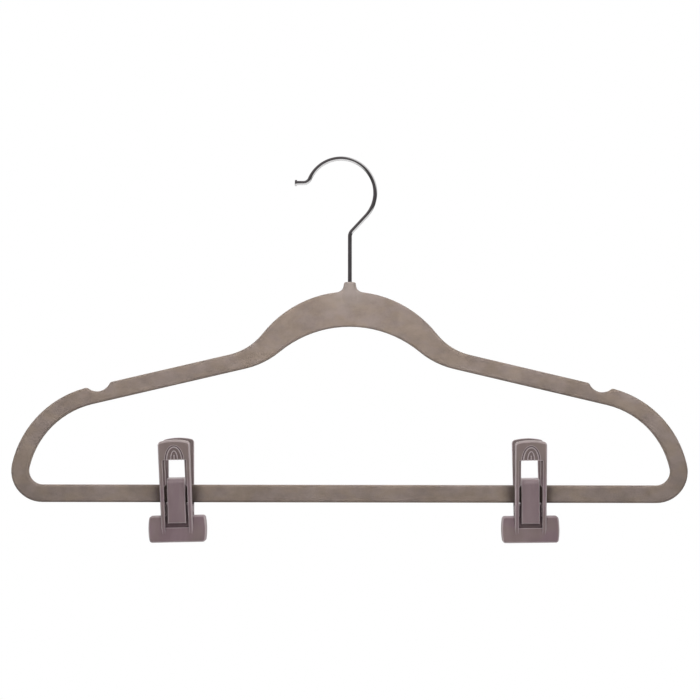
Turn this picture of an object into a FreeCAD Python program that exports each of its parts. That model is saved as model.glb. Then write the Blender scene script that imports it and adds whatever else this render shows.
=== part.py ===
import FreeCAD, Part
import math
import os

# Skirt hanger: a slim flocked frame with a trouser bar, a wire hook that swivels in the frame's neck,
# and two spring clips that slide along the bar. A clip is two identical jaws that rock on each other
# under the bar, held shut by one U-shaped spring that straddles it.
# Millimetres. +X runs along the bar, +Y to the back, +Z up. The origin is the point on the underside
# of the hook's crown that rests on the rail.

# Hook
wire_d = 2.8
hook_bend_r = 22.5        # round bend, on the wire's centreline
swivel_x = 5.9            # swivel axis, to the right of the hook's crown
kink_drop = 47.8          # rail to the corner where the shank turns into the bend
kink_r = 5.0
lip_drop = 16.1           # crown to lip, between centrelines
lip_bend_r = 4.5
lip_run = 5.7             # straight end of the wire, with its button
button_d = 4.2
button_t = 1.5
button_edge = 0.5
head_d = 4.0              # upset head that keeps the shank in the neck
head_t = 1.6
shank_depth = 10.0        # top of the neck to the underside of the head
swivel_clear = 0.05       # running clearance of shank and head in the neck

# Frame outline
frame_w = 445.0
frame_h = 138.85          # top of the crown to the underside of the bar
frame_t = 5.2
band = 11.5               # width of the shoulders, the ends and the bar
edge_r = 1.8              # rounded edges of the flocked moulding
neck_drop = 79.9          # rail to the top of the neck
neck_rise = 6.2           # top of the crown to the top of the neck
crown_r = 73.0
crown_depth = 23.25       # top of the crown to the top of the arch under it
arch_r = 72.4
dip_r = 38.8              # hollow between crown and shoulder, upper edge
dip_under_r = 54.5        # the same hollow, lower edge
shoulder_drop = 23.1      # top of the crown to where the shoulder's upper edge would meet the middle
shoulder_slope = 13.15    # degrees
end_r = 67.0
corner_r = 20.6

# Strap notches
notch_inset = 56.1        # end of the frame to the middle of the notch
notch_r = 9.5
notch_depth = 4.2
notch_lip_r = 2.2

# Neck: round at its top, swelling and then sinking into the frame; drops are from its top
neck_top_r = 4.0
neck_top_edge = 1.4
collar_drop = 3.7
collar_w = 9.0
collar_t = 8.0
belly_drop = 8.0
belly_w = 13.6
belly_t = 7.2
root_drop = 20.0          # here the neck is thinner than the frame and hidden in it
root_w = 19.0
root_t = 4.4
flare_x = 3.4             # swivel axis to where the frame's outline starts to flare into the crown
flare_r = 6.0

# Clips, placed from the swivel axis and leaning as loose clips do
left_clip_x = -113.2
right_clip_x = 118.8
left_clip_lean = 1.3      # degrees, top towards the left
right_clip_lean = 0.7
fulcrum_drop = 4.1        # underside of the bar to the axis that the jaws rock on

# Jaw arm: two rails joined by the finger tab
arm_w = 20.8
rail_top_w = 4.05         # rails at the tab, with the ledge along the window
rail_w = 2.65             # rails' face, and the rails beside the spring and down to the plate
rail_ledge = 1.8          # face to ledge
rail_step = 14.0          # above the fulcrum; here the rails widen, and their ledge starts
rail_step_h = 2.4
arm_t = 3.0
arm_lean = 10.0           # degrees, top outwards
arm_edge = 0.8            # bevel round the outside
tab_top = 45.4            # above the fulcrum
tab_crown = 1.5           # rise of the tab's curved top edge
tab_corner_r = 2.2
window_top = 32.6         # above the fulcrum

# Finger grip on the tab: nested arches in a shallow recess
grip_depth = 0.6
grip_margin = 3.2         # tab's top edge to the top of the recess
grip_side = 0.3           # rail to the side of the recess
grip_gap = 0.8            # recess to the first arch
grip_spacing = 2.6        # from one arch to the next
grip_ridge = 0.8
grip_arches = 2
grip_rib_h = 3.3

# Jaw plate: the wide lower end that holds the cloth
plate_w = 37.9
plate_h = 17.3
plate_t = 3.2
plate_drop = 4.7          # fulcrum to the plate's top edge
plate_bulge = 0.8         # convex ends
plate_corner_r = 2.0
plate_edge = 0.8          # bevel round the face
rail_fade = 12.2          # plate's top edge to where the rails run out in its face
pocket_h = 7.6            # recess that the spring's tip presses on
pocket_wall = 1.8
web_top = 3.6             # above the fulcrum; the pocket's floor runs up to here between the rails
web_t = 1.2
web_bevel = 0.9           # off the web's top edge, so that it passes under the bar as the jaw rocks
web_clear = 0.3           # rail to the web's side
pad_gap = 0.3             # between the closed jaws' ribs
pad_rib_h = 0.45
pad_rib_pitch = 2.4
pad_rib_count = 6
pad_rib_margin = 3.0      # plate's end to the end of a rib

# Fulcrum: a bead on one rail of each jaw rocks in a socket on the other jaw's rail
bead_r = 1.3
bead_neck_t = 2.2
socket_wall = 0.95
socket_lip = 0.4          # mid-plane to the rim of the socket
pivot_clear = 0.05
knuckle_root = 1.0        # depth that a knuckle runs into its rail

# Spring
spring_w = 12.0
spring_bridge_t = 4.2     # bridge that hangs on the bar
spring_leg_t = 3.4        # legs, at the bridge
spring_tip_t = 2.3
spring_tip_drop = 9.6     # fulcrum to the spring's tips
spring_bend_r = 3.6       # outer bend between bridge and leg
spring_inner_r = 2.2
spring_edge = 0.8         # bevels round the outside
spring_side_clear = 0.9   # bar to the legs
spring_seat_clear = 0.5   # bar to the bridge
spring_tip_clear = 0.15   # tip to the pocket that it presses on

# Heights and places that follow from the sizes
half_w = frame_w / 2
half_t = frame_t / 2
neck_z = -neck_drop
crown_z = neck_z - neck_rise
bar_bottom_z = crown_z - frame_h
fulcrum_z = bar_bottom_z - fulcrum_drop
pad_face = pad_gap / 2 + pad_rib_h
plate_face = pad_face + plate_t
window_half = arm_w / 2 - rail_w            # half the gap between the rails, beside the spring
window_top_half = arm_w / 2 - rail_top_w    # and at the tab
lean_tan = math.tan(math.radians(arm_lean))
arm_face = plate_face + (plate_drop + rail_fade) * lean_tan   # outer face at the fulcrum's height
arm_inner = arm_face - arm_t / math.cos(math.radians(arm_lean))

ORIGIN = FreeCAD.Vector(0, 0, 0)
X_AXIS = FreeCAD.Vector(1, 0, 0)
Y_AXIS = FreeCAD.Vector(0, 1, 0)
Z_AXIS = FreeCAD.Vector(0, 0, 1)


def at(x, z):
    """Point in the frame's mid-plane."""
    return FreeCAD.Vector(x, 0, z)


def in_section(y, z):
    """Point in the clip's cross-section."""
    return FreeCAD.Vector(0, y, z)


def line(a, b):
    return Part.LineSegment(a, b).toShape()


def arc(a, b, centre):
    """The shorter arc from a to b about a centre."""
    radius = (a - centre).Length
    outward = ((a - centre) + (b - centre)).normalize()
    return Part.Arc(a, centre + outward * radius, b).toShape()


def towards(a, b, distance):
    """Point at a distance from a, in the direction of b."""
    return a + (b - a).normalize() * distance


def tangent_point(start, centre, radius):
    """Point where a line from start, below a circle, touches its right side."""
    reach = start - centre
    share = radius / reach.Length
    across = reach.cross(Y_AXIS).normalize()
    return centre + reach * share ** 2 + across * radius * math.sqrt(1 - share ** 2)


def box(x0, x1, y0, y1, z0, z1):
    return Part.makeBox(x1 - x0, y1 - y0, z1 - z0, FreeCAD.Vector(x0, y0, z0))


def edges_at(shape, axis, level):
    """Edges that lie in the plane where one coordinate has a given value."""
    def flat(edge):
        low = getattr(edge.BoundBox, axis + "Min")
        high = getattr(edge.BoundBox, axis + "Max")
        return abs(low - level) < 1e-4 and abs(high - level) < 1e-4
    return [edge for edge in shape.Edges if flat(edge)]


def edges_along_y(shape):
    """Straight edges across the thickness of a plate."""
    def across(edge):
        return edge.BoundBox.YLength > 1e-3 and edge.BoundBox.XLength + edge.BoundBox.ZLength < 1e-4
    return [edge for edge in shape.Edges if across(edge)]


def mirrored_wire(edges):
    """Closed wire from a right half and its mirror image."""
    left = [edge.mirror(ORIGIN, X_AXIS) for edge in edges]
    return Part.Wire(Part.__sortEdges__(edges + left))


def beside_line(circle, distance, point, normal, offset):
    """Centre at a distance from a circle's centre and an offset from a line, on its far side in +X."""
    height = (point - circle).dot(normal) + offset
    along = FreeCAD.Vector(normal.z, 0, -normal.x)
    return circle + normal * height + along * math.sqrt(distance ** 2 - height ** 2)


def make_hook():
    """Wire bent from the head in the neck up to the crown and round to the button on its lip."""
    wire_r = wire_d / 2
    bend_centre = at(0, wire_r - hook_bend_r)
    foot = at(swivel_x, neck_z - shank_depth)
    kink = at(swivel_x, -kink_drop)
    bend_start = tangent_point(kink, bend_centre, hook_bend_r)
    turn = (kink - foot).getAngle(bend_start - kink)
    setback = kink_r * math.tan(turn / 2)
    kink_in = towards(kink, foot, setback)
    kink_out = towards(kink, bend_start, setback)
    kink_centre = kink_in + X_AXIS * kink_r

    lip_z = wire_r - lip_drop
    reach = hook_bend_r + lip_bend_r
    rise = lip_z + lip_bend_r - bend_centre.z
    lip_centre = bend_centre + at(-math.sqrt(reach ** 2 - rise ** 2), rise)
    bend_end = towards(bend_centre, lip_centre, hook_bend_r)
    lip_start = lip_centre - Z_AXIS * lip_bend_r
    lip_end = lip_start - X_AXIS * lip_run
    crown = bend_centre + Z_AXIS * hook_bend_r

    path = Part.Wire([
        line(foot, kink_in),
        arc(kink_in, kink_out, kink_centre),
        line(kink_out, bend_start),
        arc(bend_start, crown, bend_centre),
        arc(crown, bend_end, bend_centre),
        arc(bend_end, lip_start, lip_centre),
        line(lip_start, lip_end),
    ])
    section = Part.Wire(Part.makeCircle(wire_r, foot, Z_AXIS))
    wire = path.makePipeShell([section], True, False)

    head = Part.makeCylinder(head_d / 2, head_t, foot, Z_AXIS)
    button = Part.makeCylinder(button_d / 2, button_t, lip_end, X_AXIS)
    button = button.makeFillet(button_edge, edges_at(button, "X", lip_end.x))
    return wire.fuse([head, button]).removeSplitter()


def frame_outlines():
    """Outer and inner outline of the frame about its middle, as tangent lines and arcs."""
    slope = math.radians(shoulder_slope)
    up = at(math.sin(slope), math.cos(slope))
    shoulder = at(0, crown_z - shoulder_drop)
    bar_bottom = at(0, bar_bottom_z)
    bar_top = at(0, bar_bottom_z + band)

    crown_top = at(0, crown_z)
    crown_centre = at(0, crown_z - crown_r)
    dip_centre = beside_line(crown_centre, crown_r + dip_r, shoulder, up, dip_r)
    corner_centre = at(half_w - corner_r, bar_bottom_z + corner_r)
    end_height = (shoulder - corner_centre).dot(up) - end_r
    end_back = math.sqrt((end_r - corner_r) ** 2 - end_height ** 2)
    end_centre = corner_centre + up * end_height - at(up.z, -up.x) * end_back

    flare_reach = flare_x + flare_r
    flare_rise = math.sqrt((crown_r + flare_r) ** 2 - flare_reach ** 2)
    flare_centre = crown_centre + at(flare_reach, flare_rise)
    flare_top = flare_centre - X_AXIS * flare_r
    crown_start = towards(crown_centre, flare_centre, crown_r)
    dip_start = towards(crown_centre, dip_centre, crown_r)
    dip_end = dip_centre - up * dip_r
    end_start = end_centre + up * end_r
    corner_start = towards(end_centre, corner_centre, end_r)
    corner_end = corner_centre - Z_AXIS * corner_r
    outer = mirrored_wire([
        line(at(0, flare_top.z), flare_top),
        arc(flare_top, crown_start, flare_centre),
        arc(crown_start, dip_start, crown_centre),
        arc(dip_start, dip_end, dip_centre),
        line(dip_end, end_start),
        arc(end_start, corner_start, end_centre),
        arc(corner_start, corner_end, corner_centre),
        line(corner_end, bar_bottom),
    ])

    arch_top = crown_top - Z_AXIS * crown_depth
    arch_centre = arch_top - Z_AXIS * arch_r
    under = shoulder - up * band
    hollow_centre = beside_line(arch_centre, arch_r + dip_under_r, under, up, dip_under_r)
    hollow_start = towards(arch_centre, hollow_centre, arch_r)
    hollow_end = hollow_centre - up * dip_under_r
    inner_end_start = end_start - up * band
    inner_corner_start = towards(end_centre, corner_centre, end_r - band)
    inner_corner_end = corner_end + Z_AXIS * band
    inner = mirrored_wire([
        arc(arch_top, hollow_start, arch_centre),
        arc(hollow_start, hollow_end, hollow_centre),
        line(hollow_end, inner_end_start),
        arc(inner_end_start, inner_corner_start, end_centre),
        arc(inner_corner_start, inner_corner_end, corner_centre),
        line(inner_corner_end, bar_top),
    ])
    return outer, inner


def notch_centre():
    """Centre of the right strap notch, so deep below the shoulder's upper edge."""
    slope = math.radians(shoulder_slope)
    x = half_w - notch_inset
    edge_z = crown_z - shoulder_drop - x * math.tan(slope)
    return at(x, edge_z + (notch_r - notch_depth) / math.cos(slope))


def make_neck():
    """Neck that holds the hook: a smooth skin over ellipses, running out in the frame's faces."""
    def section(drop, width, thickness):
        ellipse = Part.Ellipse(at(0, neck_z - drop), width / 2, thickness / 2)
        return Part.Wire(ellipse.toShape())
    neck = Part.makeLoft([
        section(0, 2 * neck_top_r, 2 * neck_top_r),
        section(collar_drop, collar_w, collar_t),
        section(belly_drop, belly_w, belly_t),
        section(root_drop, root_w, root_t),
    ], True)
    return neck.makeFillet(neck_top_edge, edges_at(neck, "Z", neck_z))


def make_frame():
    """Flocked moulding: a flat ring with rounded edges, strap notches and the neck."""
    face = Part.makeFace(list(frame_outlines()), "Part::FaceMakerBullseye")
    face.translate(-Y_AXIS * half_t)
    ring = face.extrude(Y_AXIS * frame_t)
    right = notch_centre()
    for centre in (right, at(-right.x, right.z)):
        start = centre - Y_AXIS * half_t
        ring = ring.cut(Part.makeCylinder(notch_r, frame_t, start, Y_AXIS))
        near = [e for e in edges_along_y(ring)
                if abs((e.CenterOfMass - centre).Length - notch_r) < 1e-3]
        ring = ring.makeFillet(notch_lip_r, near)
    ring = ring.makeFillet(edge_r, edges_at(ring, "Y", half_t) + edges_at(ring, "Y", -half_t))

    foot_z = neck_z - shank_depth
    bore = Part.makeCylinder(wire_d / 2 + swivel_clear, shank_depth, at(0, foot_z), Z_AXIS)
    cell = Part.makeCylinder(
        head_d / 2 + swivel_clear,
        head_t + 2 * swivel_clear,
        at(0, foot_z - swivel_clear),
        Z_AXIS,
    )
    frame = ring.fuse(make_neck()).removeSplitter().cut(bore.fuse(cell))
    frame.translate(X_AXIS * swivel_x)
    return frame


def arch(half_width, height, base, y0, y1):
    """Solid half ellipse standing on a base height, between two depths."""
    centre = FreeCAD.Vector(0, y0, base)
    side = centre + X_AXIS * half_width
    top = centre + Z_AXIS * height
    if height > half_width:
        ellipse = Part.Ellipse(top, side, centre)
    else:
        ellipse = Part.Ellipse(side, top, centre)
    whole = Part.Face(Part.Wire(ellipse.toShape())).extrude(Y_AXIS * (y1 - y0))
    keep = box(-half_width, half_width, y0, y1, base, base + height)
    return whole.common(keep)


def make_grip(base, top):
    """Recess in the tab's face, less the arches and the rib that stay standing in it."""
    half = window_top_half - grip_side
    height = top - grip_margin - base
    recess = arch(half, height, base, -grip_depth, grip_depth)
    for i in range(grip_arches):
        inset = grip_gap + i * grip_spacing
        outer_half = half - inset
        outer_height = height - inset
        ridge = arch(outer_half, outer_height, base, -grip_depth, grip_depth)
        hollow = arch(
            outer_half - grip_ridge, outer_height - grip_ridge, base, -grip_depth, grip_depth
        )
        recess = recess.cut(ridge.cut(hollow))
    rib = box(-grip_ridge / 2, grip_ridge / 2, -grip_depth, grip_depth, base, base + grip_rib_h)
    return recess.cut(rib)


def make_arm():
    """Rails and finger tab, made flat with the outer face at y = 0 and then leant outwards."""
    stretch = 1 / math.cos(math.radians(arm_lean))
    top = tab_top * stretch
    base = window_top * stretch
    step_foot = rail_step * stretch
    step_head = (rail_step + rail_step_h) * stretch
    bottom = -(plate_drop + rail_fade) * stretch
    half = arm_w / 2
    shoulder = top - tab_crown
    outline = Part.Wire([
        line(at(-half, bottom), at(half, bottom)),
        line(at(half, bottom), at(half, shoulder)),
        Part.Arc(at(half, shoulder), at(0, top), at(-half, shoulder)).toShape(),
        line(at(-half, shoulder), at(-half, bottom)),
    ])
    arm = Part.Face(outline).extrude(-Y_AXIS * arm_t)
    corners = [e for e in edges_along_y(arm) if e.CenterOfMass.z > base]
    arm = arm.makeFillet(tab_corner_r, corners)
    rim = [e for e in edges_at(arm, "Y", 0) if e.BoundBox.ZLength > 0 or e.CenterOfMass.z > base]
    arm = arm.makeChamfer(arm_edge, rim)
    window = Part.Face(Part.makePolygon([
        at(-window_half, bottom),
        at(window_half, bottom),
        at(window_half, step_foot),
        at(window_top_half, step_head),
        at(window_top_half, base),
        at(-window_top_half, base),
        at(-window_top_half, step_head),
        at(-window_half, step_foot),
        at(-window_half, bottom),
    ]))
    arm = arm.cut(window.extrude(-Y_AXIS * arm_t))
    arm = arm.cut(box(-window_half, window_half, -rail_ledge, 0, step_foot, base))
    arm = arm.cut(make_grip(base, top))
    arm.rotate(ORIGIN, X_AXIS, -arm_lean)
    arm.translate(Y_AXIS * arm_face)
    return arm


def make_plate():
    """Wide plate with convex ends, ribbed inside, with the pocket for the spring's tip."""
    top = -plate_drop
    bottom = top - plate_h
    end = plate_w / 2
    corner = end - plate_bulge
    middle = (top + bottom) / 2
    outline = Part.Wire([
        line(at(-corner, top), at(corner, top)),
        Part.Arc(at(corner, top), at(end, middle), at(corner, bottom)).toShape(),
        line(at(corner, bottom), at(-corner, bottom)),
        Part.Arc(at(-corner, bottom), at(-end, middle), at(-corner, top)).toShape(),
    ])
    plate = Part.Face(outline).extrude(Y_AXIS * plate_t)
    plate = plate.makeFillet(plate_corner_r, edges_along_y(plate))
    plate = plate.makeChamfer(plate_edge, edges_at(plate, "Y", plate_t))
    plate = plate.cut(box(-window_half, window_half, pocket_wall, plate_t, top - pocket_h, top))
    web_half = window_half - web_clear
    web = box(-web_half, web_half, pocket_wall - web_t, pocket_wall, top - pocket_h, web_top)
    rim = [e for e in edges_at(web, "Z", web_top) if e.CenterOfMass.y > pocket_wall - 1e-4]
    plate = plate.fuse(web.makeChamfer(web_bevel, rim))
    plate.translate(Y_AXIS * pad_face)

    rib_half = end - pad_rib_margin
    first = middle - (pad_rib_count - 1) * pad_rib_pitch / 2
    for i in range(pad_rib_count):
        z = first + i * pad_rib_pitch
        crest = in_section(pad_face - pad_rib_h, z)
        foot_low = in_section(pad_face, z - pad_rib_h)
        foot_high = in_section(pad_face, z + pad_rib_h)
        rib = Part.Face(Part.makePolygon([foot_low, crest, foot_high, foot_low]))
        rib.translate(-X_AXIS * rib_half)
        plate = plate.fuse(rib.extrude(X_AXIS * 2 * rib_half))
    return plate


def make_knuckles():
    """Bead on the left rail and socket on the right one, both on the fulcrum axis."""
    half = arm_w / 2
    root = arm_inner + knuckle_root
    neck = box(-half, -window_half, 0, root, -bead_neck_t / 2, bead_neck_t / 2)
    bead = Part.makeCylinder(bead_r, rail_w, at(-half, 0), X_AXIS)
    socket_r = bead_r + pivot_clear
    cheek = socket_r + socket_wall
    block = box(window_half, half, socket_lip, root, -cheek, cheek)
    block = block.cut(Part.makeCylinder(socket_r, rail_w, at(window_half, 0), X_AXIS))
    return [neck.fuse(bead), block]


def make_jaw():
    """Rear jaw of a clip about its fulcrum: arm, plate and knuckles in one moulding."""
    arm = make_arm()
    mouth = box(-plate_w, plate_w, -plate_w, pad_face, -plate_drop - plate_h, -plate_drop)
    return arm.cut(mouth).fuse([make_plate()] + make_knuckles()).removeSplitter()


def wedge(tip_y, top_y, top, corner_r):
    """Block of the spring's width between its tips' height and a top with rounded corners."""
    section = Part.makePolygon([
        in_section(-tip_y, -spring_tip_drop),
        in_section(tip_y, -spring_tip_drop),
        in_section(top_y, top),
        in_section(-top_y, top),
        in_section(-tip_y, -spring_tip_drop),
    ])
    section.translate(-X_AXIS * spring_w / 2)
    block = Part.Face(section).extrude(X_AXIS * spring_w)
    corners = [e for e in edges_at(block, "Z", top) if e.BoundBox.YLength < 1e-4]
    return block.makeFillet(corner_r, corners)


def make_spring():
    """U-shaped spring: a bridge over the bar and two legs tapering to tips in the jaws' pockets."""
    tip_y = pad_face + pocket_wall + spring_tip_clear
    leg_y = half_t + spring_side_clear
    seat = fulcrum_drop + band + spring_seat_clear
    top = seat + spring_bridge_t
    outside = wedge(tip_y + spring_tip_t, leg_y + spring_leg_t, top, spring_bend_r)
    sides = edges_at(outside, "X", -spring_w / 2) + edges_at(outside, "X", spring_w / 2)
    tips = [e for e in edges_at(outside, "Z", -spring_tip_drop) if e.BoundBox.YLength < 1e-4]
    outside = outside.makeChamfer(spring_edge, sides + tips)
    return outside.cut(wedge(tip_y, leg_y, seat, spring_inner_r))


def place_clip(shape, clip_x, lean):
    """Move a piece from the fulcrum's own frame to its clip on the bar."""
    placed = shape.copy()
    placed.rotate(ORIGIN, Y_AXIS, -lean)
    placed.translate(FreeCAD.Vector(swivel_x + clip_x, 0, fulcrum_z))
    return placed


os.makedirs("parts", exist_ok=True)
pieces = {"hook": make_hook(), "frame": make_frame()}
rear_jaw = make_jaw()
front_jaw = rear_jaw.copy()
front_jaw.rotate(ORIGIN, Z_AXIS, 180)
clip_spring = make_spring()
clips = {"left": (left_clip_x, left_clip_lean), "right": (right_clip_x, right_clip_lean)}
for side, (clip_x, lean) in clips.items():
    pieces[side + "_front_jaw"] = place_clip(front_jaw, clip_x, lean)
    pieces[side + "_rear_jaw"] = place_clip(rear_jaw, clip_x, lean)
    pieces[side + "_clip_spring"] = place_clip(clip_spring, clip_x, lean)
for name, shape in pieces.items():
    shape.exportStep("parts/" + name + ".step")
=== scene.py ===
import math

import bpy
import numpy as np
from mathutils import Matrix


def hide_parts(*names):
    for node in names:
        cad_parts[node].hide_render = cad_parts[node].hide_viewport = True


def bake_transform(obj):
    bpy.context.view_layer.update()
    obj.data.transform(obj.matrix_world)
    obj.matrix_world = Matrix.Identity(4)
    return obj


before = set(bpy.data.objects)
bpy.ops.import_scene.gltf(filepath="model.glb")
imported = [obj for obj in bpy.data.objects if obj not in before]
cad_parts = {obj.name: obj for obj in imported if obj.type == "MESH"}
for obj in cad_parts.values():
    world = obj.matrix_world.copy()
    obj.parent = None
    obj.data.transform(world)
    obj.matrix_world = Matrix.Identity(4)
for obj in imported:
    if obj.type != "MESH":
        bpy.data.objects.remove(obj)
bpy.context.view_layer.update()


# The hook: 2.8 mm steel wire bent cold to a question mark, chromed bright, with a small button
# upset on its tip. Its lower end turns in the neck, held there by a head inside the moulding.

class Tone:
    """One value of a finish: wraps a node socket, so that mixing tones reads as plain arithmetic."""

    def __init__(self, socket):
        self.socket = socket

    def node(self, kind, settings=None, values=None, out=0):
        """Add a node of this kind beside the tone: settings first, then its sockets' values or links."""
        tree = self.socket.id_data
        made = tree.nodes.new(kind)
        for name, setting in (settings or {}).items():
            setattr(made, name, setting)
        for key, value in (values or {}).items():
            if isinstance(value, Tone):
                tree.links.new(value.socket, made.inputs[key])
            else:
                made.inputs[key].default_value = value
        return Tone(made.outputs[out])

    def take(self, shader):
        """Link a finished shader into this socket."""
        self.socket.id_data.links.new(shader.socket, self.socket)

    def maths(self, operation, first, second):
        """One Math node on two tones or numbers."""
        return self.node("ShaderNodeMath", {"operation": operation}, {0: first, 1: second})

    def __add__(self, other):
        return self.maths("ADD", self, other)

    def __sub__(self, other):
        return self.maths("SUBTRACT", self, other)

    def __rsub__(self, other):
        return self.maths("SUBTRACT", other, self)

    def __mul__(self, other):
        return self.maths("MULTIPLY", self, other)

    __radd__ = __add__
    __rmul__ = __mul__

    def between(self, low, high):
        """Smooth step of the tone: 0 below low, 1 above high."""
        values = {"Value": self, "From Min": low, "From Max": high}
        return self.node("ShaderNodeMapRange", {"interpolation_type": "SMOOTHSTEP"}, values)

    def tint(self, dark, light):
        """Colour that runs from dark to light as the tone runs from 0 to 1. The Mix node's colours are
        its sockets 6 and 7 and its output 2."""
        dark, light = ((*end, 1) if isinstance(end, tuple) else end for end in (dark, light))
        values = {"Factor": self, 6: dark, 7: light}
        return self.node("ShaderNodeMix", {"data_type": "RGBA"}, values, out=2)

    def noise(self, place, scale, detail=2.0, roughness=0.5):
        """Noise of so many cells per metre at a place, about 0.5."""
        values = {"Vector": place, "Scale": scale, "Detail": detail, "Roughness": roughness}
        return self.node("ShaderNodeTexNoise", values=values)

    def stretched(self, place, scales):
        """A place drawn out or pressed together along each axis."""
        return self.node("ShaderNodeVectorMath", {"operation": "MULTIPLY"}, {0: place, 1: scales})

    def along(self, axis):
        """One coordinate of a place or a direction."""
        return self.node("ShaderNodeSeparateXYZ", values={0: self}, out=axis)


def new_finish(name):
    """Empty material: its surface socket as a tone, and the place on the piece in metres."""
    material = bpy.data.materials.new(name)
    material.use_nodes = True
    tree = material.node_tree
    tree.nodes.clear()
    surface = Tone(tree.nodes.new("ShaderNodeOutputMaterial").inputs["Surface"])
    place = surface.node("ShaderNodeTexCoord", out="Object")
    return material, surface, place


def coat(surface, values):
    """Join a Principled shader with these socket values to the material's surface."""
    surface.take(surface.node("ShaderNodeBsdfPrincipled", values=values))


def bumped(surface, height, distance, strength, under=None):
    """Normal of a surface raised by a height from 0 to 1 times a distance in metres, over the
    bumps that are already under it."""
    values = {"Height": height, "Distance": distance, "Strength": strength}
    if under is not None:
        values["Normal"] = under
    return surface.node("ShaderNodeBump", values=values)


def dress(node, material):
    """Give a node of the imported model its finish."""
    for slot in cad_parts[node].material_slots:
        slot.material = material


handled_chrome, clean_chrome = (0.66, 0.65, 0.65), (0.76, 0.755, 0.76)
draw_depth = 0.00001
chrome, surface, place = new_finish("bright_chrome")
draw_marks = surface.noise(surface.stretched(place, (1.0, 1.0, 0.12)), 2400, detail=3)
handling = surface.noise(place, 160, detail=3, roughness=0.6)
coat(surface, {
    "Base Color": handling.between(0.35, 0.7).tint(handled_chrome, clean_chrome),
    "Metallic": 1.0,
    "Roughness": 0.07 + 0.10 * handling.between(0.45, 0.75) + 0.04 * draw_marks,
    "Normal": bumped(surface, draw_marks, draw_depth, 0.35),
})
dress("hook", chrome)


# The frame: one slim ABS moulding, neck, crown, shoulders, ends and trouser bar, flocked all over
# with short upright fibres, so it looks like velvet and shows faint brushed patches.

def crowding(surface, reach, inside=False, alone=True):
    """How much stands within reach: 0 on an open flat, near 1 deep in a slot; looked for inside the
    piece it tells outer edges from flats. Alone leaves the neighbouring pieces out."""
    settings = {"samples": 12, "inside": inside, "only_local": alone}
    return 1 - surface.node("ShaderNodeAmbientOcclusion", settings, {"Distance": reach}, out="AO")


def away_from(surface, place, point):
    """How far a place is from a point, in metres."""
    values = {0: place, 1: point}
    return surface.node("ShaderNodeVectorMath", {"operation": "DISTANCE"}, values, out="Value")


neck_top = (0.0059, 0.0, -0.0799)
clip_reach = 0.020
fibre_depth, tuft_depth = 0.00025, 0.0003
fibre_tip, painted_neck_highlight = (0.36, 0.30, 0.265), (0.44, 0.385, 0.355)
clip_shade = (0.035, 0.024, 0.022)
flock, surface, place = new_finish("velvet_flock")
patches = surface.noise(place, 42, detail=3, roughness=0.55)
brushing = surface.noise(surface.stretched(place, (1.0, 1.0, 1.5)), 120, detail=4, roughness=0.6)
warmth = surface.noise(surface.stretched(place, (1.0, 1.0, 1.6)), 75, detail=2)
fibres = surface.noise(place, 3200, detail=2, roughness=0.7)
tufts = surface.noise(place, 900, detail=2, roughness=0.6)
pile = (0.5 * patches + 0.5 * brushing).between(0.30, 0.70)
cool_pile = pile.tint((0.212, 0.167, 0.147), (0.308, 0.248, 0.221))
warm_pile = pile.tint((0.222, 0.172, 0.138), (0.318, 0.250, 0.204))
nap = warmth.between(0.35, 0.65).tint(cool_pile, warm_pile)
speckle = (0.6 * fibres + 0.4 * tufts).between(0.25, 0.75)
nap = (0.22 * speckle).tint(nap, fibre_tip)
# Painted highlight: the flock is lightened towards the top of the neck, where light from above falls.
neck_highlight = 1 - away_from(surface, place, neck_top).between(0.002, 0.024)
nap = (0.45 * neck_highlight).tint(nap, painted_neck_highlight)
# Painted shadow: the flock is darkened where the clips stand close, for the shadow they cast on the bar
# and the shade in the gaps beside their tongues.
by_the_clips = crowding(surface, clip_reach, alone=False)
painted_clip_shade = 0.66 * by_the_clips.between(0.06, 0.30) + 0.35 * by_the_clips.between(0.50, 0.85)
coat(surface, {
    "Base Color": painted_clip_shade.tint(nap, clip_shade),
    "Roughness": 0.86 + 0.12 * fibres,
    "Specular IOR Level": 0.12,
    "Sheen Weight": 0.30,
    "Sheen Roughness": 0.45,
    "Sheen Tint": (0.95, 0.86, 0.80, 1),
    "Normal": bumped(surface, fibres, fibre_depth, 0.40, bumped(surface, tufts, tuft_depth, 0.20)),
})
dress("frame", flock)


# The jaws: four like mouldings in satin plastic dyed to suit the flock. Two stand back to back at
# each clip; each is a finger tab with arched grips, two rails and a wide plate ribbed inside.

tab_low_z, tab_high_z = -0.215, -0.200
groove_reach, slot_reach, edge_reach = 0.0016, 0.004, 0.0007
grain_depth = 0.00006
painted_groove_shade, painted_inner_shade, painted_slot_shade = (0.085, 0.052, 0.058), (0.060, 0.036, 0.041), (0.030, 0.017, 0.020)
jaw_wear_and_highlight = (0.56, 0.472, 0.483)
clip_plastic, surface, place = new_finish("satin_clip_plastic")
flow = surface.noise(surface.stretched(place, (1.0, 1.0, 0.45)), 130, detail=3, roughness=0.55)
blush = surface.noise(place, 55, detail=1)
grain = surface.noise(place, 5200, detail=1)
moulded = flow.between(0.3, 0.7)
mauve = moulded.tint((0.230, 0.159, 0.176), (0.264, 0.188, 0.205))
taupe = moulded.tint((0.232, 0.171, 0.170), (0.268, 0.202, 0.198))
brown = moulded.tint((0.214, 0.165, 0.148), (0.247, 0.194, 0.175))
body_colour = blush.between(0.4, 0.6).tint(mauve, taupe)
tabs = place.along("Z").between(tab_low_z, tab_high_z)
body_colour = (0.8 * tabs).tint(body_colour, brown)
# Painted shade: the grooves between the arched grips and other small hollows are darkened where less
# light reaches.
grooves = crowding(surface, groove_reach).between(0.10, 0.50)
body_colour = (0.75 * grooves).tint(body_colour, painted_groove_shade)
facing = surface.node("ShaderNodeTexCoord", out="Normal")
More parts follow.
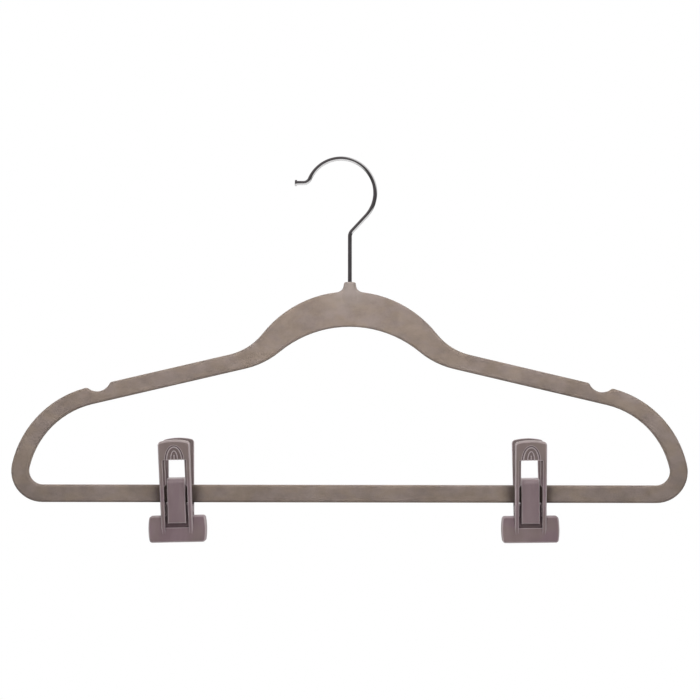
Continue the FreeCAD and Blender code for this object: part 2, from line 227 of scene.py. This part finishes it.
# Painted shade: the faces of each jaw that look towards the other jaw are darkened, for the shade
# between the jaws.
insides = (0 - place.along("Y") * facing.along("Y")).between(0.0005, 0.0030)
body_colour = (0.55 * insides).tint(body_colour, painted_inner_shade)
# Painted shade: deep slots beside the springs and between neighbouring pieces are darkened nearly to
# black.
slots = crowding(surface, slot_reach, alone=False).between(0.45, 0.90)
body_colour = (0.85 * slots).tint(body_colour, painted_slot_shade)
# Painted highlight with edge wear: bevels at about 45 degrees, less where they face up, and outer edges
# are lightened towards a pale tone.
across = facing.along("Y") * facing.along("Y")
upward = facing.along("Z").between(0.2, 0.5)
bevel_highlight = (4 * across * (1 - across)).between(0.45, 0.95) * (1 - 0.6 * upward)
edges = crowding(surface, edge_reach, inside=True).between(0.06, 0.42)
wear_and_highlight = surface.maths("MAXIMUM", bevel_highlight, edges) * (0.45 + 0.7 * flow)
coat(surface, {
    "Base Color": wear_and_highlight.tint(body_colour, jaw_wear_and_highlight),
    "Roughness": 0.40 + 0.10 * flow + 0.06 * grain - 0.08 * wear_and_highlight,
    "Specular IOR Level": 0.5,
    "Normal": bumped(surface, grain, grain_depth, 0.35),
})
for side in ("left", "right"):
    for jaw in ("front_jaw", "rear_jaw"):
        dress(side + "_" + jaw, clip_plastic)


# The springs: a U of springy plastic over the bar at each clip, its two legs tapering down to
# tips that press on the jaws' plates and hold them shut. Front and rear legs are built as separate
# halves.

# Heights are above the jaws' fulcrum, depths from the middle of the bar, all in metres. A clip's
# place is its x along the bar and its lean in degrees.
spring_w, spring_round = 0.0120, 0.0008
seat_h, top_h, tip_h = 0.0161, 0.0203, -0.0096
inner_tip_y, inner_top_y, inner_r = 0.00255, 0.0035, 0.0022
outer_tip_y, outer_top_y, outer_r = 0.00485, 0.0069, 0.0036
level_rows, bend_rows, leg_rows, round_steps = 6, 10, 40, 6
sharp_deg = 35
fulcrum_z = -0.22905
clip_places = {"left": (-0.1073, 1.3), "right": (0.1247, 0.7)}


def spring_line(tip_y, top_y, top, corner_r):
    """Half of a U in the depth and height plane: level from the middle to the bend, round the
    bend of that radius, then straight down the leg to its tip. Returns the points in that order."""
    leg = np.array([tip_y - top_y, tip_h - top])
    leg = leg / np.linalg.norm(leg)
    turn = math.acos(-leg[0])
    reach = corner_r * math.tan((math.pi - turn) / 2)
    bend_start = np.array([top_y - reach, top])
    centre = bend_start - np.array([0.0, corner_r])
    sweep = np.linspace(0, math.pi - turn, bend_rows)[:, None]
    bend = centre + corner_r * np.hstack([np.sin(sweep), np.cos(sweep)])
    level = np.linspace([0.0, top], bend_start, level_rows, endpoint=False)
    down = np.linspace(bend[-1], [tip_y, tip_h], leg_rows + 1)[1:]
    return np.vstack([level, bend, down])


def spring_half(facing):
    """One leg of the spring and its half of the bridge: a section with rounded outer edges, as wide
    as the spring, carried along the lines of the inner and outer faces. Returns its rows of points
    about the fulcrum, and the painted highlight each point gets: on a rounded edge, where it is also
    worn, at the tip and over the upper bend, where light from above falls."""
    inner = spring_line(inner_tip_y, inner_top_y, seat_h, inner_r)
    outer = spring_line(outer_tip_y, outer_top_y, top_h, outer_r)
    depth = np.linalg.norm(outer - inner, axis=1)
    across = (outer - inner) / depth[:, None]
    to_tip = np.clip((outer[:, 1] - tip_h) / spring_round, 0, 1)
    depth = depth - spring_round * (1 - np.sqrt(1 - (1 - to_tip) ** 2))
    turn = np.linspace(0, math.pi / 2, round_steps)
    side = spring_w / 2 - spring_round + spring_round * np.cos(turn)
    sunk = spring_round * (1 - np.sin(turn))
    width = np.concatenate([[spring_w / 2], side, -side[::-1], [-spring_w / 2]])
    raised = np.zeros((len(inner), len(width)))
    raised[:, 1:-1] = depth[:, None] - np.concatenate([sunk, sunk[::-1]])
    spot = inner[:, None, :] + across[:, None, :] * raised[:, :, None]
    width = np.broadcast_to(width, raised.shape)
    points = np.stack([width, facing * spot[..., 0], spot[..., 1]], axis=-1)
    # Painted highlight share: strongest halfway round each rounded edge, along the tip and over the top
    # of the bend.
    lifted = np.concatenate([[0.0], turn, turn[::-1], [0.0]])
    edge_highlight_share = np.sin(2 * lifted)
    on_tip = np.sin(math.pi * to_tip)[:, None] * (raised > 0)
    up_bend = np.clip((outer[:, 1] - top_h + outer_r) / outer_r, 0, 1) ** 4
    on_bend = up_bend[:, None] * np.sin(lifted) ** 2
    return points, np.maximum(np.maximum(edge_highlight_share, on_tip), on_bend)


def closed_mesh(name, points, turned):
    """Mesh of rows of points that are closed rings: quads between neighbouring rows, and a cap on
    the first and the last row. Turned makes the faces point the other way, for a mirrored piece."""
    rows, around = points.shape[:2]
    index = np.arange(rows * around).reshape(rows, around)
    after = np.roll(index, -1, axis=1)
    quads = np.stack([index[:-1], after[:-1], after[1:], index[1:]], axis=-1).reshape(-1, 4)
    caps = np.stack([index[0][::-1], index[-1]])
    if turned:
        quads, caps = quads[:, ::-1], caps[:, ::-1]
    mesh = bpy.data.meshes.new(name)
    mesh.from_pydata(points.reshape(-1, 3).tolist(), [], quads.tolist() + caps.tolist())
    mesh.polygons.foreach_set("use_smooth", np.ones(len(mesh.polygons), bool))
    mesh.set_sharp_from_angle(angle=math.radians(sharp_deg))
    return mesh


def on_clip(points, clip_x, lean):
    """Points about the fulcrum moved to their clip: leant in the plane of the frame, then set on
    the bar."""
    tilt = math.radians(lean)
    points = np.asarray(points, float)
    x = points[..., 0] * math.cos(tilt) - points[..., 2] * math.sin(tilt) + clip_x
    z = points[..., 0] * math.sin(tilt) + points[..., 2] * math.cos(tilt) + fulcrum_z
    return np.stack([x, points[..., 1], z], axis=-1)


spring_wear_and_highlight = (0.50, 0.420, 0.430)
spring_plastic, surface, place = new_finish("satin_spring_plastic")
flow = surface.noise(surface.stretched(place, (1.0, 1.0, 0.3)), 150, detail=3, roughness=0.55)
grain = surface.noise(place, 5200, detail=1)
# The attribute read here holds the painted highlight share along the edges, tip and bend; it lightens
# the colour and lowers the roughness.
edge_highlight = surface.node("ShaderNodeAttribute", {"attribute_name": "edge_highlight"}, out="Fac")
wear_and_highlight = edge_highlight.between(0.1, 0.8) * (0.75 + 0.5 * flow)
body_colour = flow.between(0.3, 0.7).tint((0.237, 0.169, 0.184), (0.270, 0.200, 0.209))
coat(surface, {
    "Base Color": wear_and_highlight.tint(body_colour, spring_wear_and_highlight),
    "Roughness": 0.38 + 0.10 * flow + 0.06 * grain - 0.08 * wear_and_highlight,
    "Specular IOR Level": 0.5,
    "Normal": bumped(surface, grain, grain_depth, 0.35),
})
for side, (clip_x, lean) in clip_places.items():
    for jaw, facing in (("front", -1), ("rear", 1)):
        points, edge_highlight_share = spring_half(facing)
        points = on_clip(points, clip_x, lean)
        mesh = closed_mesh(side + "_clip_spring_" + jaw, points, turned=facing > 0)
        edge_highlight = mesh.attributes.new("edge_highlight", "FLOAT", "POINT")
        edge_highlight.data.foreach_set("value", edge_highlight_share.ravel().astype(np.float32))
        mesh.materials.append(spring_plastic)
        leg = bpy.data.objects.new(mesh.name, mesh)
        bpy.context.scene.collection.objects.link(leg)
        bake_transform(leg)
        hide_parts(side + "_clip_spring")


# The set: a pale floor well below the hanging hanger, fading to the white of the backdrop, with a long
# strip lamp and two square lamps before the hanger, the same behind it, one over and one under it.
# The chromed wire mirrors the room and a pool of light painted on the floor, which glows only in
# reflections, so that no lamp burns out in it.

def rays(surface, kind):
    """1 for rays of this kind, Camera, Glossy or Transmission, and 0 for all others."""
    return surface.node("ShaderNodeLightPath", out="Is " + kind + " Ray")


white = (1.0, 1.0, 1.0)
floor_z, floor_half = -0.62, 3.0
floor_mesh = bpy.data.meshes.new("floor")
corners = floor_half * np.array([[-1, -1], [1, -1], [1, 1], [-1, 1]])
corners = np.column_stack([corners, np.full(len(corners), floor_z)])
floor_mesh.from_pydata(corners.tolist(), [], [(0, 1, 2, 3)])
floor = bpy.data.objects.new("floor", floor_mesh)
bpy.context.scene.collection.objects.link(floor)

hook_crown, light_pool_middle = (0.0, 0.0, 0.0), (0.4, 0.0, floor_z)
floor_paint, surface, place = new_finish("pale_floor")
seen = rays(surface, "Camera") + rays(surface, "Transmission")
far = away_from(surface, place, hook_crown).between(0.75, 1.15)
# Painted pool of light: a pale patch on the floor to the right that glows for reflected rays only,
# standing for light falling there.
painted_light_pool = 1 - away_from(surface, place, light_pool_middle).between(0.60, 1.60)
glowing = seen * (0.5 + 0.5 * far) + rays(surface, "Glossy") * painted_light_pool
paint = surface.node("ShaderNodeBsdfDiffuse", values={"Color": (0.86, 0.86, 0.86, 1)})
glow = surface.node("ShaderNodeEmission", values={"Color": (*white, 1), "Strength": 1.0})
surface.take(surface.node("ShaderNodeMixShader", values={0: glowing, 1: paint, 2: glow}))
floor_mesh.materials.append(floor_paint)

hanger_middle = (0.006, 0.0, -0.15)
slim_size, strip_size, square_size = (0.8, 0.12), (0.9, 0.1), (0.5, 0.5)
under_z, under_watts = -0.5, 0.40
over_z, over_watts = 0.2, 0.42
strip_off, strip_watts = 0.20, 1.11
square_aside, square_off, square_z = 0.55, 0.50, 0.10
left_watts, right_watts = 0.95, 1.30
halves = (("front", -1, 1.0, 1.0), ("rear", 1, 0.8, 0.6))


def soft_lamp(name, where, size, power):
    """Rectangular area lamp of this size in metres and power in watts at a place, turned to face the
    hanger's middle and hidden from the camera."""
    light = bpy.data.lights.new(name, "AREA")
    light.shape = "RECTANGLE"
    light.size, light.size_y = size
    light.energy = power
    lamp = bpy.data.objects.new(name, light)
    bpy.context.scene.collection.objects.link(lamp)
    x, y, z = np.array(hanger_middle) - np.array(where)
    lamp.location = where
    lamp.visible_camera = False
    lamp.rotation_euler = (math.atan2(math.hypot(x, y), -z), 0, math.atan2(-x, y))
    return lamp


lamps = [
    soft_lamp("under_lamp", (0.0, 0.0, under_z), slim_size, under_watts),
    soft_lamp("over_lamp", (0.0, 0.0, over_z), slim_size, over_watts),
]
for half, facing, square_share, strip_share in halves:
    strip_place = (0.0, facing * strip_off, 0.0)
    left_place = (-square_aside, facing * square_off, square_z)
    right_place = (square_aside, facing * square_off, square_z)
    lamps += [
        soft_lamp(half + "_strip_lamp", strip_place, strip_size, strip_watts * strip_share),
        soft_lamp(half + "_left_lamp", left_place, square_size, left_watts * square_share),
        soft_lamp(half + "_right_lamp", right_place, square_size, right_watts * square_share),
    ]
unlit = bpy.data.collections.new("mirrors_the_room_only")
unlit.objects.link(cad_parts["hook"])
for lamp in lamps:
    lamp.light_linking.receiver_collection = unlit
unlit.collection_objects[0].light_linking.link_state = "EXCLUDE"

dim_room, dim_left, dim_above = (0.080, 0.074, 0.076), (0.10, 0.09, 0.095), (0.15, 0.135, 0.14)
pale_window = (0.92, 0.91, 0.91)
fill_strength = 0.05
world = bpy.data.worlds.new("studio")
world.use_nodes = True
world.node_tree.nodes.clear()
surface = Tone(world.node_tree.nodes.new("ShaderNodeOutputWorld").inputs["Surface"])
towards = surface.node("ShaderNodeTexCoord", out="Generated")
left = (0 - towards.along("X")).between(0.15, 0.6)
above = towards.along("Z").between(0.1, 0.6)
high_right = (0.70 * towards.along("X") + 0.71 * towards.along("Z")).between(0.67, 0.92)
backdrop = towards.along("Y").between(0.35, 0.90)
room = left.tint(dim_room, dim_left)
room = above.tint(room, dim_above)
room = high_right.tint(room, pale_window)
room = backdrop.tint(room, white)
mirrored = rays(surface, "Glossy")
seen = rays(surface, "Camera") + mirrored + rays(surface, "Transmission")
around = {"Color": mirrored.tint(white, room), "Strength": 1.0}
around = surface.node("ShaderNodeBackground", values=around)
fill = {"Color": (*white, 1), "Strength": fill_strength}
fill = surface.node("ShaderNodeBackground", values=fill)
surface.take(surface.node("ShaderNodeMixShader", values={0: seen, 1: fill, 2: around}))
bpy.context.scene.world = world
bpy.context.scene.view_settings.view_transform = "Standard"


# The camera: level and a little to the right of the hanger's middle, with its lens shifted to keep
# the hanger in the middle of the picture, as far off as the picture's framing asks.

lens_mm, sensor_mm, away_m = 85, 36, 1.088
aim_x, aim_z, sidestep, roll_deg = 0.00608, -0.12458, 0.017, 0.1
camera_data = bpy.data.cameras.new("camera")
camera_data.lens = lens_mm
camera_data.sensor_width = sensor_mm
camera_data.shift_x = -sidestep * lens_mm / (sensor_mm * away_m)
camera = bpy.data.objects.new("camera", camera_data)
camera.location = (aim_x + sidestep, -away_m, aim_z)
camera.rotation_euler = (math.pi / 2, -math.radians(roll_deg), 0)
bpy.context.scene.collection.objects.link(camera)
bpy.context.scene.camera = camera
